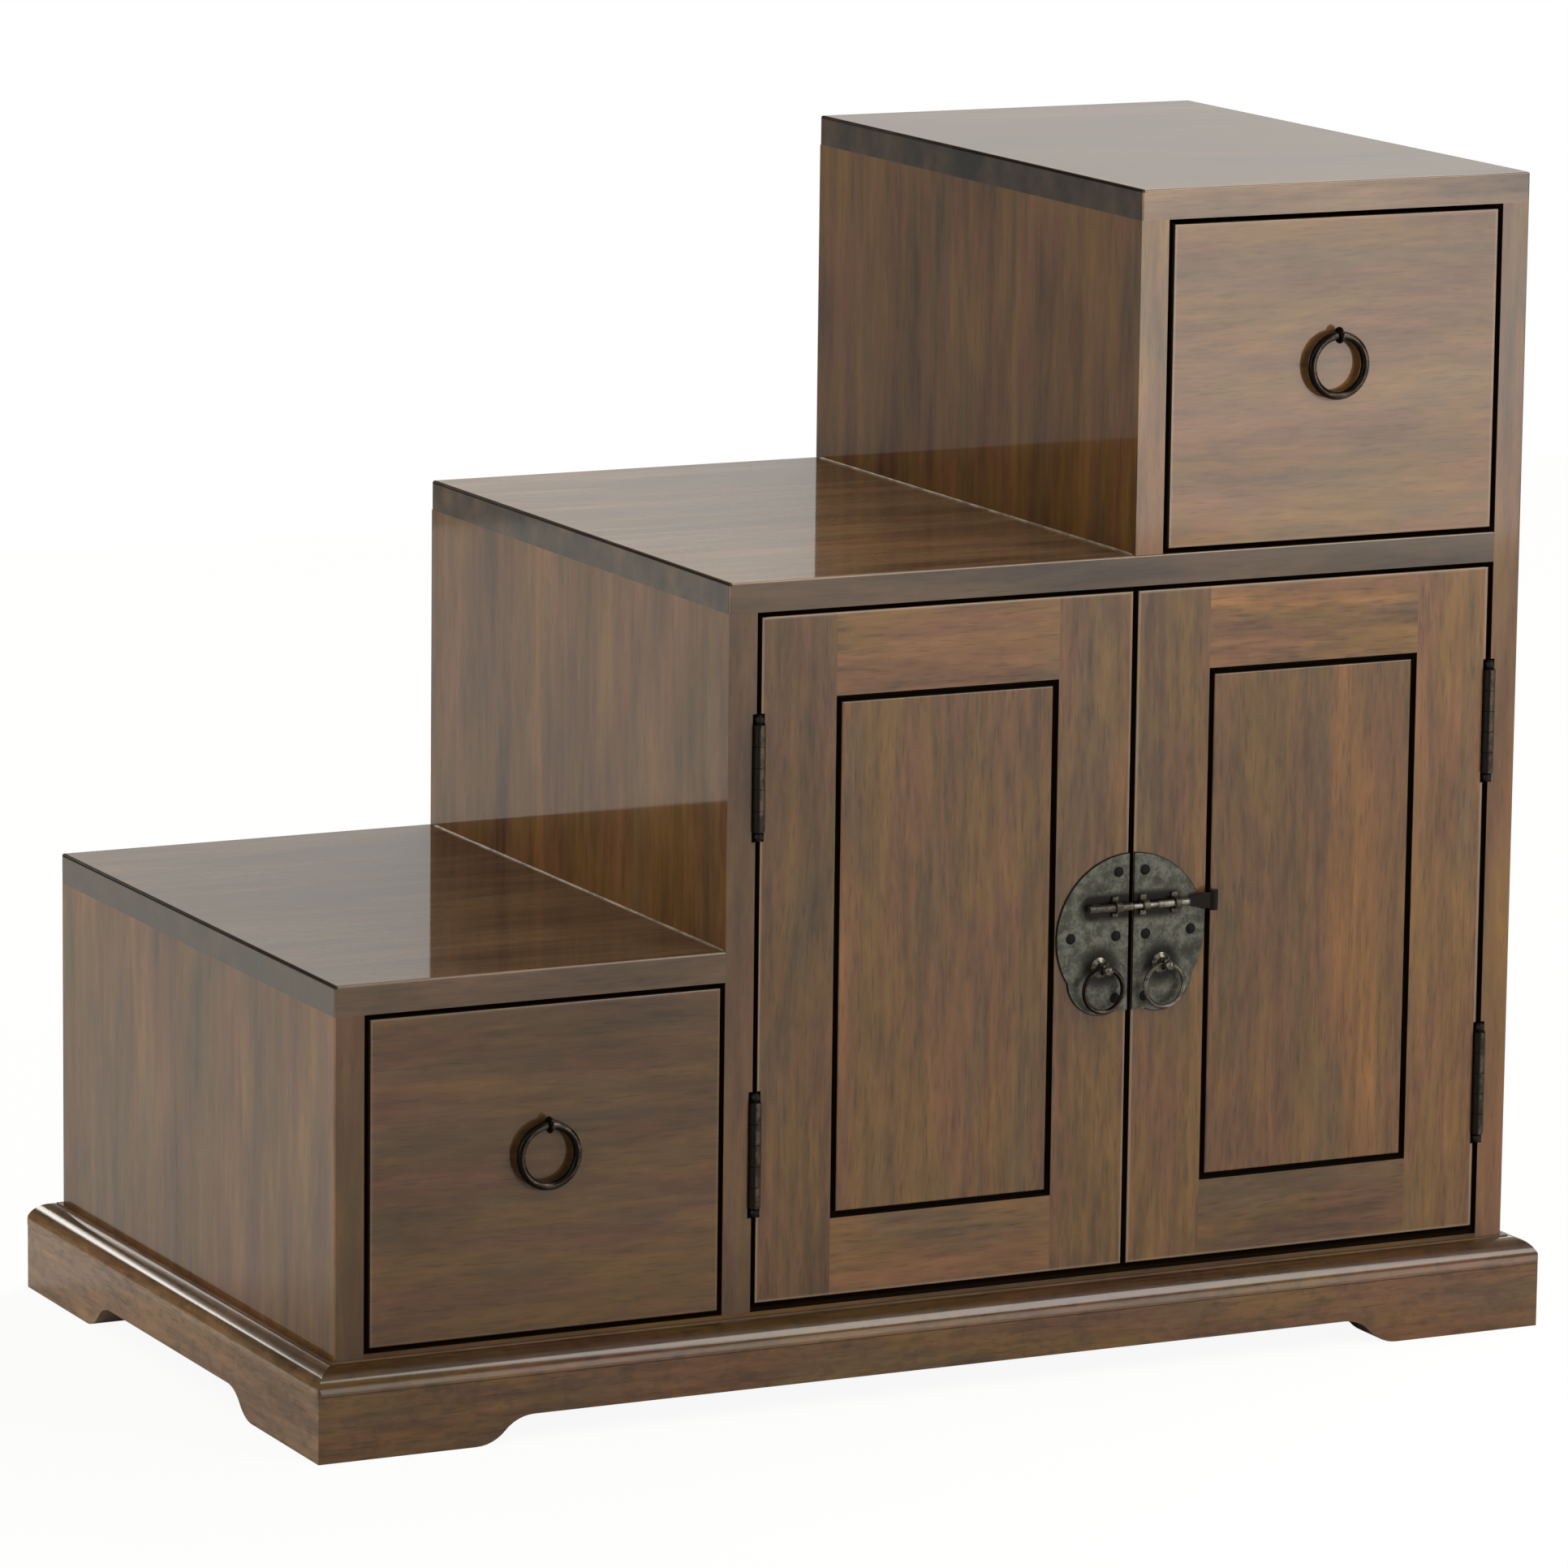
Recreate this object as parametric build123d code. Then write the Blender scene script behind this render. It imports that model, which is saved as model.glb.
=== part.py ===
from build123d import *
import os
from collections import namedtuple

# A step chest: three stair-like bays in one carcase on a moulded bracket plinth. The low and the
# high bay each hold a drawer, and the wide middle bay is a cupboard with a pair of framed doors.
# Millimetres. +Z up, the fronts face -Y, origin on the floor under the middle of the plinth.

# ---- carcase ----
body_width = 700.0  # outside faces of the two end boards
body_depth = 382.0
board = 16.5  # thickness of every carcase board
arris = 1.2  # rounding of the carcase's outer edges
first_step_height = 248.0  # floor to the top of the first tread
step_rise = 195.5  # from one tread top to the next
first_run = 222.3  # left end to the second step's riser
second_run = 239.7  # second riser to the third riser
back_panel = 6.0
back_rebate = 5.0  # how far a back panel is let into the boards round it

# ---- plinth ----
plinth_height = 50.0
plinth_reach = 16.0  # from the carcase's face to the moulding's nose
plinth_ledge = 8.0  # part of the plinth that passes under the carcase and carries it
floor_reveal = 2.0  # edge of the bottom board that shows above the plinth
ovolo_radius = 13.3  # the quarter-round moulding along the top
fillet_step = 0.8  # small steps above and below the quarter round
foot_length = 90.0  # flat sole of a bracket foot, from the plinth's corner
foot_curve = 33.0  # run of the double curve from the sole up to the arch
arch_height = 14.5
corner_radius = 3.0  # upright corners of the plinth
glue_block = 40.0
glue_block_drop = 5.0  # the blocks stop this far above the floor

# ---- drawers ----
front_gap = 2.6  # round a drawer front, and round the doors at the sides and top
front_thickness = 18.0
front_arris = 1.0
drawer_side = 12.0
drawer_lap = 10.0  # how far the sides are let into the ends of the front
drawer_side_drop = 22.0  # sides stop this far below the top of the front
drawer_back_drop = 6.0  # and the back this far below the sides
drawer_bottom = 5.0
drawer_groove = 5.0
drawer_bottom_lift = 8.0  # underside of the bottom above the sides' lower edges
running_gap = 0.3  # under a drawer, and in front of stops
stop_length = 26.0
stop_width = 30.0
stop_height = 20.0

# ---- doors ----
meeting_gap = 3.2  # between the two doors
meeting_offset = 1.8  # of that gap's middle, to the right of the cupboard's
door_sill_gap = 4.6  # under the doors
door_thickness = 18.0
door_stile = 44.0
door_bottom_rail = 42.0
door_top_rail = 44.5
door_arris = 0.8
tenon_length = 25.0
tongue = 6.0  # thickness of the tenons and of the panel's tongue
tongue_setback = 6.0  # from the door's face to the tongue
groove_depth = 9.0
panel_gap = 3.4  # open line round the panel's raised field
panel_thickness = 14.0
door_stop = 14.0

# ---- butt hinges ----
barrel_radius = 3.3
barrel_length = 57.0
barrel_standoff = 1.0  # the pin's centre in front of the carcase's face
knuckles = 5
knuckle_gap = 0.3
hinge_pin_radius = 1.5
pin_fit = 0.05  # radial running fit of the hinge pin and of the bolt in its guides
ball_radius = 2.6
leaf_fit = 0.2  # between the two folded leaves
leaf_width = 14.0
barrel_clearance = 0.4  # in the wood round the knuckles
upper_hinge_drop = 85.1  # from the door's top edge to the hinge's middle
lower_hinge_rise = 80.7  # from the door's bottom edge to the hinge's middle

# ---- ring pulls of the drawers ----
ring_diameter = 37.0
ring_wire = 2.1  # radius
eye_wire = 1.1  # radius
wire_sides = 8  # of the section of a bent wire
eye_fit = 0.3  # between the ring and its eye
pull_drop = 66.0  # from the bay's ceiling to the ring's pivot
shank_radius = 1.4
shank_fit = 0.05
clench_length = 18.0  # the two legs bent over behind the front
clench_width = 2.4
clench_thickness = 1.2

# ---- lock plate, bolt and small pulls of the doors ----
plate_radius = 45.0
plate_thickness = 1.2
plate_bevel = 0.4
plate_height = 186.0  # plate's centre above the cupboard's floor
plate_foot = 41.0  # level lower rim between the lobes, below the plate's centre
lobe_radius = 20.5
lobe_offset = 17.5
lobe_drop = 22.5
bolt_rise = 16.3  # bolt's axis above the plate's centre
bolt_reach = 5.0  # bolt's axis in front of the doors
bolt_tip = 0.9  # tip at rest, inside the gap between the doors, left of its middle
bolt_neck = 14.0  # where the slim nose meets the thicker rod
bolt_shoulder = 33.0  # where the rod meets the flat tail
bolt_tail = 48.0  # centre of the rolled end
nose_radius = 1.5
rod_radius = 2.0
tail_thickness = 2.4
tail_height = 8.6
scroll_radius = 2.6
scroll_height = 11.0
guide_wall = 1.3
guide_base = 11.0
inner_guide = (4.9, 8.4)
outer_guide = (24.0, 27.5)
keeper_end = 27.7
keeper_wall = 0.6
keeper_depth = 8.0
keeper_collar = (8.5, 12.0)
collar_wall = 1.2
saddle = (20.0, 24.0)
post_offset = 18.6  # pulls, left and right of the plate's centre
post_drop = 16.4
post_base_radius = 5.5
post_base_height = 1.8
post_base_rim = 0.6  # straight part of the foot's height, below its taper
post_eye_reach = 4.9  # eye's centre in front of the plate
post_eye_radius = 3.3
post_eye_thickness = 2.6
post_neck_radius = 1.6
post_ball_radius = 2.9
post_ball_reach = 10.1
small_ring_diameter = 26.0
small_ring_wire = 1.2
small_eye_fit = 0.35

# ---- places worked out from the above ----
left = -body_width / 2
right = body_width / 2
front = -body_depth / 2
back = body_depth / 2
second_riser = left + first_run
third_riser = second_riser + second_run
second_step_height = first_step_height + step_rise
third_step_height = second_step_height + step_rise
floor_top = plinth_height + floor_reveal
floor_underside = floor_top - board

Bay = namedtuple("Bay", "left right floor ceiling")
low_bay = Bay(left + board, second_riser, floor_top, first_step_height - board)
cupboard = Bay(second_riser + board, right - board, floor_top, second_step_height - board)
high_bay = Bay(third_riser + board, right - board, second_step_height, third_step_height - board)

meeting_line = (cupboard.left + cupboard.right) / 2 + meeting_offset
door_floor = cupboard.floor + door_sill_gap
door_top = cupboard.ceiling - front_gap
hinge_line = front - barrel_standoff
hinge_heights = (door_floor + lower_hinge_rise, door_top - upper_hinge_drop)
leaf = (front_gap - leaf_fit) / 2
plate_centre = cupboard.floor + plate_height
plate_face = front - plate_thickness


def block(x, y, z):
    """A rectangular piece between a low and a high value on each axis."""
    size = (x[1] - x[0], y[1] - y[0], z[1] - z[0])
    centre = (sum(x) / 2, sum(y) / 2, sum(z) / 2)
    return Pos(*centre) * Box(*size)


def rod_x(radius, x, y, z):
    """A round rod along X between two values of x."""
    return Pos(sum(x) / 2, y, z) * Rot(0, 90, 0) * Cylinder(radius, x[1] - x[0])


def rod_y(radius, x, y, z):
    """A round rod along Y between two values of y."""
    return Pos(x, sum(y) / 2, z) * Rot(90, 0, 0) * Cylinder(radius, y[1] - y[0])


def rod_z(radius, x, y, z):
    """A round rod along Z between two values of z."""
    return Pos(x, y, sum(z) / 2) * Cylinder(radius, z[1] - z[0])


def wire_ring(middle, wire):
    """A closed ring of wire about Z. The first radius runs to the middle of the wire."""
    return revolve(Plane.XZ * Pos(middle, 0) * RegularPolygon(wire, wire_sides), Axis.Z)


def hanging_ring(diameter, wire, x, y, z):
    """A wire ring facing -Y that hangs from the point (x, y, z), the centre of its wire there."""
    middle = diameter / 2 - wire
    return Pos(x, y, z - middle) * Rot(90, 0, 0) * wire_ring(middle, wire)


def edges_at(part, along, *places):
    """The straight edges parallel to one axis that lie at each given (axis, value)."""
    chosen = part.edges().filter_by(along)
    for axis, value in places:
        chosen = chosen.filter_by_position(axis, value - 0.01, value + 0.01)
    return chosen


# ---- carcase boards ----

def back_space(bay):
    """The rebated space at the back of a bay that its back panel fills."""
    return block(
        (bay.left - back_rebate, bay.right + back_rebate),
        (back - back_panel, back),
        (bay.floor - back_rebate, bay.ceiling + back_rebate),
    )


def rebated(part):
    for bay in (low_bay, cupboard, high_bay):
        part = part - back_space(bay)
    return part


def knuckle_space(x):
    """The round recesses that the hinge barrels of one side turn in."""
    reach = barrel_length / 2 + 2 * ball_radius + barrel_clearance
    spaces = Part()
    for z in hinge_heights:
        spaces += rod_z(barrel_radius + barrel_clearance, x, hinge_line, (z - reach, z + reach))
    return spaces


def end_board(outer, inner, top):
    """An upright end of the carcase, rounded along the two upright edges of its outer face."""
    side = block(sorted((outer, inner)), (front, back), (floor_underside, top))
    uprights = edges_at(side, Axis.Z, (Axis.X, outer))
    return fillet(uprights, arris)


def tread(x, height, outer):
    """A step's top board. Its upper edges are rounded, and so are the ends that stand free."""
    top = block(x, (front, back), (height - board, height))
    rounded = edges_at(top, Axis.X, (Axis.Z, height))
    for end in outer:
        rounded += edges_at(top, Axis.Y, (Axis.Z, height), (Axis.X, end))
        rounded += edges_at(top, Axis.Z, (Axis.X, end))
    return fillet(rounded, arris)


def carcase():
    depth = (front, back)
    parts = {
        "bottom_board": block((left + board, right - board), depth, (floor_underside, floor_top)),
        "left_side": end_board(left, low_bay.left, low_bay.ceiling),
        "right_side": end_board(right, high_bay.right, high_bay.ceiling) - knuckle_space(right_pin),
        "second_step_side": block(
            (second_riser, cupboard.left), depth, (floor_top, cupboard.ceiling)
        ) - knuckle_space(left_pin),
        "third_step_side": block(
            (third_riser, high_bay.left), depth, (second_step_height, high_bay.ceiling)
        ),
        "first_tread": tread((left, second_riser), first_step_height, (left,)),
        "second_tread": tread((second_riser, right - board), second_step_height, (second_riser,)),
        "third_tread": tread((third_riser, right), third_step_height, (third_riser, right)),
    }
    parts = {name: rebated(part) for name, part in parts.items()}
    parts["low_back_panel"] = back_space(low_bay)
    parts["cupboard_back_panel"] = back_space(cupboard)
    parts["high_back_panel"] = back_space(high_bay)
    stop_front = front + door_thickness + running_gap
    parts["door_stop"] = block(
        (cupboard.left, cupboard.right),
        (stop_front, stop_front + door_stop),
        (cupboard.ceiling - door_stop, cupboard.ceiling),
    )
    parts["low_drawer_stops"] = drawer_stops(low_bay)
    parts["high_drawer_stops"] = drawer_stops(high_bay)
    return parts


def drawer_stops(bay):
    """Two blocks at the back of a bay that the closed drawer's sides come up to."""
    stops = Part()
    for x in ((bay.left, bay.left + stop_width), (bay.right - stop_width, bay.right)):
        stops += block(
            x,
            (back - back_panel - stop_length, back - back_panel),
            (bay.floor, bay.floor + stop_height),
        )
    return stops


# ---- plinth ----

def plinth_section():
    """The plinth's section: x is the reach from the carcase's face outwards, y the height."""
    nose = plinth_height - fillet_step - ovolo_radius
    crown = plinth_reach - ovolo_radius
    face = plinth_reach - fillet_step
    with BuildSketch() as section:
        with BuildLine():
            Polyline(
                (-plinth_ledge, 0), (face, 0), (face, nose - fillet_step), (plinth_reach, nose)
            )
            CenterArc((crown, nose), ovolo_radius, 0, 90)
            Polyline(
                (crown, nose + ovolo_radius),
                (crown, plinth_height),
                (0, plinth_height),
                (0, floor_underside),
                (-plinth_ledge, floor_underside),
                (-plinth_ledge, 0),
            )
        make_face()
    return section.sketch


def arch_outline(half):
    """The opening between two bracket feet: a reverse curve rises from each sole to the arch."""
    sole = half - foot_length
    bend = (sole - foot_curve / 2, arch_height / 2)
    crest = (sole - foot_curve, arch_height)
    with BuildSketch() as outline:
        with BuildLine() as curve:
            lower = TangentArc((sole, 0), bend, tangent=(-1, 0))
            TangentArc(bend, crest, tangent=lower % 1)
            Line(crest, (0, arch_height))
            mirror(about=Plane.YZ)
            Line((-sole, 0), (sole, 0))
        make_face()
    return outline.sketch


def plinth_board(width, depth, turn):
    """The board under one side of the carcase, mitred at both ends and turned to face outwards."""
    half = width / 2 + plinth_reach
    face = -depth / 2
    nose = face - plinth_reach
    inner = face + plinth_ledge
    inner_half = half - plinth_reach - plinth_ledge
    section_plane = Plane(origin=(-half, face, 0), x_dir=(0, -1, 0), z_dir=(-1, 0, 0))
    moulding = extrude(section_plane * plinth_section(), -2 * half)
    mitres = Polygon(
        (-half, nose), (half, nose), (inner_half, inner), (-inner_half, inner), align=None
    )
    corners = RectangleRounded(2 * half, depth + 2 * plinth_reach, corner_radius)
    arch = extrude(Plane.XZ.offset(-inner) * arch_outline(half), inner - nose)
    whole = moulding & extrude(mitres, plinth_height) & extrude(corners, plinth_height)
    return Rot(0, 0, turn) * (whole - arch)


def plinth():
    blocks = Part()
    for x in (left + plinth_ledge, right - plinth_ledge - glue_block):
        for y in (front + plinth_ledge, back - plinth_ledge - glue_block):
            blocks += block(
                (x, x + glue_block), (y, y + glue_block), (glue_block_drop, floor_underside)
            )
    return {
        "front_plinth": plinth_board(body_width, body_depth, 0),
        "right_plinth": plinth_board(body_depth, body_width, 90),
        "back_plinth": plinth_board(body_width, body_depth, 180),
        "left_plinth": plinth_board(body_depth, body_width, 270),
        "corner_blocks": blocks,
    }


# ---- drawers ----

def drawer_eye(x, z):
    """A split-pin eye: a loop for the ring, a shank through the front and two clenched legs."""
    loop = ring_wire + eye_fit + eye_wire
    pivot = front - loop - eye_wire
    behind = front + front_thickness
    eye = Pos(x, pivot, z) * Rot(0, 90, 0) * wire_ring(loop, eye_wire)
    shank = rod_y(shank_radius, x, (pivot + loop, behind + clench_thickness), z)
    legs = block(
        (x - clench_length / 2, x + clench_length / 2),
        (behind, behind + clench_thickness),
        (z - clench_width / 2, z + clench_width / 2),
    )
    return eye + shank + legs


def drawer(name, bay):
    face = (bay.left + front_gap, bay.right - front_gap)
    height = (bay.floor + front_gap, bay.ceiling - front_gap)
    inside = front + front_thickness
    lap = inside - drawer_lap
    end = back - back_panel - stop_length - running_gap
    underside = bay.floor + running_gap
    side_top = height[1] - drawer_side_drop
    bottom_z = (underside + drawer_bottom_lift, underside + drawer_bottom_lift + drawer_bottom)
    pull = ((bay.left + bay.right) / 2, bay.ceiling - pull_drop)

    bottom_x = (face[0] + drawer_side - drawer_groove, face[1] - drawer_side + drawer_groove)
    bottom = block(bottom_x, (inside - drawer_groove, end), bottom_z)

    board_front = block(face, (front, inside), height)
    board_front = fillet(board_front.faces().sort_by(Axis.Y)[0].edges(), front_arris)
    board_front -= rod_y(shank_radius + shank_fit, pull[0], (front, inside), pull[1])
    parts = {"bottom": bottom, "back": block(
        (face[0] + drawer_side, face[1] - drawer_side),
        (end - drawer_side, end),
        (bottom_z[1], side_top - drawer_back_drop),
    )}
    for hand, x in (
        ("left_side", (face[0], face[0] + drawer_side)),
        ("right_side", (face[1] - drawer_side, face[1])),
    ):
        lapped = block(x, (lap, inside), (height[0], side_top))
        board_front -= lapped
        parts[hand] = block(x, (inside, end), (underside, side_top)) + lapped - bottom
    parts["front"] = board_front - bottom
    parts["eye"] = drawer_eye(*pull)
    pivot = front - ring_wire - eye_fit - 2 * eye_wire
    parts["ring"] = hanging_ring(ring_diameter, ring_wire, pull[0], pivot, pull[1])
    return {f"{name}_{piece}": part for piece, part in parts.items()}


# ---- doors and hinges ----

left_pin = cupboard.left + front_gap / 2
right_pin = cupboard.right - front_gap / 2


def door(name, hinged, meeting, pin):
    """A framed door between its hinged and its meeting edge, with a flush panel in its grooves."""
    inwards = 1 if meeting > hinged else -1
    depth = (front, front + door_thickness)
    height = (door_floor, door_top)
    mid = (front + tongue_setback, front + tongue_setback + tongue)
    inner_x = sorted((hinged + inwards * door_stile, meeting - inwards * door_stile))
    inner_z = (door_floor + door_bottom_rail, door_top - door_top_rail)

    def grown(span, by):
        return (span[0] - by, span[1] + by)

    field = block(
        grown(inner_x, -panel_gap), (front, front + panel_thickness), grown(inner_z, -panel_gap)
    )
    field = fillet(field.faces().sort_by(Axis.Y)[0].edges(), door_arris)
    tongue_edge = block(grown(inner_x, groove_depth), mid, grown(inner_z, groove_depth))
    panel = field + tongue_edge

    tenon_z = ((door_floor + groove_depth, inner_z[0]), (inner_z[1], door_top - groove_depth))
    rail_z = ((door_floor, inner_z[0]), (inner_z[1], door_top))
    parts = {"panel": panel}
    tenons = Part()
    for piece, z, tenon, edge in zip(
        ("bottom_rail", "top_rail"), rail_z, tenon_z, (door_floor, door_top)
    ):
        rail = block(inner_x, depth, z)
        rail = fillet(edges_at(rail, Axis.X, (Axis.Y, front), (Axis.Z, edge)), door_arris)
        cut = block(grown(inner_x, tenon_length), mid, tenon)
        tenons += cut
        parts[piece] = rail + cut - tongue_edge
    for piece, outer, inner in (
        ("hinge_stile", hinged, hinged + inwards * door_stile),
        ("meeting_stile", meeting, meeting - inwards * door_stile),
    ):
        stile = block(sorted((outer, inner)), depth, height)
        rounded = edges_at(stile, Axis.Z, (Axis.Y, front), (Axis.X, outer))
        for z in height:
            rounded += edges_at(stile, Axis.X, (Axis.Y, front), (Axis.Z, z))
        parts[piece] = fillet(rounded, door_arris) - tongue_edge - tenons
    parts["hinge_stile"] -= knuckle_space(pin)
    return {f"{name}_{piece}": part for piece, part in parts.items()}


def hinge_leaf(pin, wood, own, z):
    """A leaf flat against the wood with its own knuckles, numbered from the lowest, round the pin."""
    low = z - barrel_length / 2
    pitch = barrel_length / knuckles
    behind = hinge_line + barrel_radius + knuckle_gap
    inwards = 1 if wood < pin else -1
    flat_x = sorted((wood, wood + inwards * leaf))
    flat = block(flat_x, (behind, behind + leaf_width), (low, low + barrel_length))
    bore = rod_z(hinge_pin_radius + pin_fit, pin, hinge_line, (low, low + barrel_length))
    for number in own:
        span = (low + number * pitch, low + (number + 1) * pitch)
        if number > 0:
            span = (span[0] + knuckle_gap / 2, span[1])
        if number < knuckles - 1:
            span = (span[0], span[1] - knuckle_gap / 2)
        web = block(flat_x, (hinge_line + hinge_pin_radius, behind), span)
        flat += rod_z(barrel_radius, pin, hinge_line, span) + web
    return flat - bore


def hinge_pin(pin, z):
    """The loose pin with a small ball at each end of the barrel."""
    reach = barrel_length / 2 + ball_radius
    shaft = rod_z(hinge_pin_radius, pin, hinge_line, (z - reach, z + reach))
    for end in (z - reach, z + reach):
        shaft += Pos(pin, hinge_line, end) * Sphere(ball_radius)
    return shaft


def hinges(hand, pin, frame_wood, door_wood):
    frame_leaves = Part()
    door_leaves = Part()
    pins = Part()
    for z in hinge_heights:
        frame_leaves += hinge_leaf(pin, frame_wood, range(0, knuckles, 2), z)
        door_leaves += hinge_leaf(pin, door_wood, range(1, knuckles, 2), z)
        pins += hinge_pin(pin, z)
    return {
        f"{hand}_hinge_frame_leaves": frame_leaves,
        f"{hand}_hinge_door_leaves": door_leaves,
        f"{hand}_hinge_pins": pins,
    }


# ---- lock plate, bolt and pulls ----

def at_plate(u, v):
    """The point of the doors' front at u to the right of and v above the plate's centre."""
    return (meeting_line + u, plate_centre + v)


def plate_disc(radius, u, v):
    """A round of plate with a bevelled rim, lying on the doors' front."""
    x, z = at_plate(u, v)
    disc = rod_y(radius, x, (plate_face, front), z)
    return chamfer(disc.faces().sort_by(Axis.Y)[0].edges(), plate_bevel)


def half_plate(side):
    """Half of the lock plate, side -1 left and 1 right, cut straight at the meeting edge. A lobe
    under the pull breaks out of the round rim, and between the lobes the rim is cut level."""
    x, z = at_plate(0, 0)
    half = sorted((x + side * meeting_gap / 2, x + side * 2 * plate_radius))
    depth = (plate_face, front)
    round_part = plate_disc(plate_radius, 0, 0) & block(
        half, depth, (z - plate_foot, z + plate_radius)
    )
    lobe = plate_disc(lobe_radius, side * lobe_offset, -lobe_drop) & block(
        half, depth, (z - 2 * plate_radius, z)
    )
    return round_part + lobe


def strap(u, outer_radius, bore_radius):
    """A bridge over the bolt: a round top on straight legs down to the plate, bored for the bolt."""
    x, z = at_plate(0, bolt_rise)
    span = (x + u[0], x + u[1])
    axis_y = front - bolt_reach
    legs = block(span, (axis_y, plate_face), (z - outer_radius, z + outer_radius))
    feet = block(
        span, (plate_face - guide_wall, plate_face), (z - guide_base / 2, z + guide_base / 2)
    )
    return rod_x(outer_radius, span, axis_y, z) + legs + feet - rod_x(bore_radius, span, axis_y, z)


def bolt_guides():
    return (
        strap(inner_guide, nose_radius + pin_fit + guide_wall, nose_radius + pin_fit)
        + strap(outer_guide, rod_radius + pin_fit + guide_wall, rod_radius + pin_fit)
    )


def bolt_keeper():
    """The left plate's socket: a tube in line with the bolt, with a collar and a saddle under it."""
    x, z = at_plate(0, bolt_rise)
    axis_y = front - bolt_reach
    bore = nose_radius + pin_fit
    outer = bore + keeper_wall
    mouth = x - meeting_gap / 2
    tube = rod_x(outer, (x - keeper_end, mouth), axis_y, z)
    collar = strap([-u for u in reversed(keeper_collar)], bore + collar_wall + keeper_wall, bore)
    seat = block(
        (x - saddle[1], x - saddle[0]), (axis_y, plate_face), (z - outer, z + outer)
    )
    socket = rod_x(bore, (mouth - keeper_depth, mouth), axis_y, z)
    return tube + collar + seat - socket


def sliding_bolt():
    """A slim nose, a thicker rod and a flat tail that ends in an upright rolled scroll."""
    x, z = at_plate(0, bolt_rise)
    axis_y = front - bolt_reach
    nose = rod_x(nose_radius, (x - bolt_tip, x + bolt_neck), axis_y, z)
    rod = rod_x(rod_radius, (x + bolt_neck, x + bolt_shoulder), axis_y, z)
    flare = (bolt_shoulder + bolt_tail) / 2
    with BuildSketch() as outline:
        Polygon(
            (bolt_shoulder, -rod_radius),
            (flare, -tail_height / 2),
            (bolt_tail, -tail_height / 2),
            (bolt_tail, tail_height / 2),
            (flare, tail_height / 2),
            (bolt_shoulder, rod_radius),
            align=None,
        )
    plane = Plane(
        origin=(x, axis_y + tail_thickness / 2, z), x_dir=(1, 0, 0), z_dir=(0, -1, 0)
    )
    tail = extrude(plane * outline.sketch, tail_thickness)
    ends = (z - scroll_height / 2, z + scroll_height / 2)
    return nose + rod + tail + rod_z(scroll_radius, x + bolt_tail, axis_y, ends)


def pull_post(side):
    """A turned post on the plate: a tapered foot, an eye for the ring and a ball at the tip."""
    x, z = at_plate(side * post_offset, -post_drop)
    foot = rod_y(post_base_radius, x, (plate_face - post_base_height, plate_face), z)
    taper = post_base_height - post_base_rim
    foot = chamfer(foot.faces().sort_by(Axis.Y)[0].edges(), taper, 2 * taper)
    neck = rod_y(post_neck_radius, x, (plate_face - post_ball_reach, plate_face), z)
    eye_y = plate_face - post_eye_reach
    half_eye = (x - post_eye_thickness / 2, x + post_eye_thickness / 2)
    eye = rod_x(post_eye_radius, half_eye, eye_y, z)
    hole = rod_x(
        small_ring_wire + small_eye_fit, (x - post_base_radius, x + post_base_radius), eye_y, z
    )
    tip = Pos(x, plate_face - post_ball_reach, z) * Sphere(post_ball_radius)
    return foot + neck + eye + tip - hole


def pull_ring(side):
    x, z = at_plate(side * post_offset, -post_drop)
    return hanging_ring(
        small_ring_diameter, small_ring_wire, x, plate_face - post_eye_reach, z
    )


def chest():
    parts = carcase() | plinth() | drawer("low_drawer", low_bay) | drawer("high_drawer", high_bay)
    left_door = (cupboard.left + front_gap, meeting_line - meeting_gap / 2)
    right_door = (cupboard.right - front_gap, meeting_line + meeting_gap / 2)
    parts |= door("left_door", *left_door, left_pin)
    parts |= door("right_door", *right_door, right_pin)
    parts |= hinges("left", left_pin, cupboard.left, left_door[0])
    parts |= hinges("right", right_pin, cupboard.right, right_door[0])
    for hand, side in (("left", -1), ("right", 1)):
        parts[f"{hand}_lock_plate"] = half_plate(side)
        parts[f"{hand}_pull_post"] = pull_post(side)
        parts[f"{hand}_pull_ring"] = pull_ring(side)
    parts["bolt_keeper"] = bolt_keeper()
    parts["bolt_guides"] = bolt_guides()
    parts["sliding_bolt"] = sliding_bolt()
    return parts


os.makedirs("parts", exist_ok=True)
for node, part in chest().items():
    export_step(part, f"parts/{node}.step")
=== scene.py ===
import math

import bmesh
import bpy
import numpy as np
from mathutils import Matrix, Vector


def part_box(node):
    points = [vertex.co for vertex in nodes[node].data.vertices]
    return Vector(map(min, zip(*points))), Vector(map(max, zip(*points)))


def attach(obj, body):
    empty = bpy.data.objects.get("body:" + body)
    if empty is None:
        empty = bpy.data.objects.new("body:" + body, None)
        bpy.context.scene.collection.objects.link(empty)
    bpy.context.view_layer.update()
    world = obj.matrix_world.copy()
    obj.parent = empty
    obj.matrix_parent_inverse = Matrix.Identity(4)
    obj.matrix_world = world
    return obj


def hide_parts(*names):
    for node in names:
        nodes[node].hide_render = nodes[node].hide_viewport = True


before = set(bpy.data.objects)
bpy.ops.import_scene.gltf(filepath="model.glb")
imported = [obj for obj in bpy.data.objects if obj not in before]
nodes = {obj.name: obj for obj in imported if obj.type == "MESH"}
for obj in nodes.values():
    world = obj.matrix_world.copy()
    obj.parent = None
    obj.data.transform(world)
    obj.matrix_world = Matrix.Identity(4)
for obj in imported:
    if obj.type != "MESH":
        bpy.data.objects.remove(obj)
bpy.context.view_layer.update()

# The looks of a step chest: stained and lacquered boards, dark fittings, and the light they
# stand in. Metres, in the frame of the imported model: +Z up, the fronts face -Y.


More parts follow.
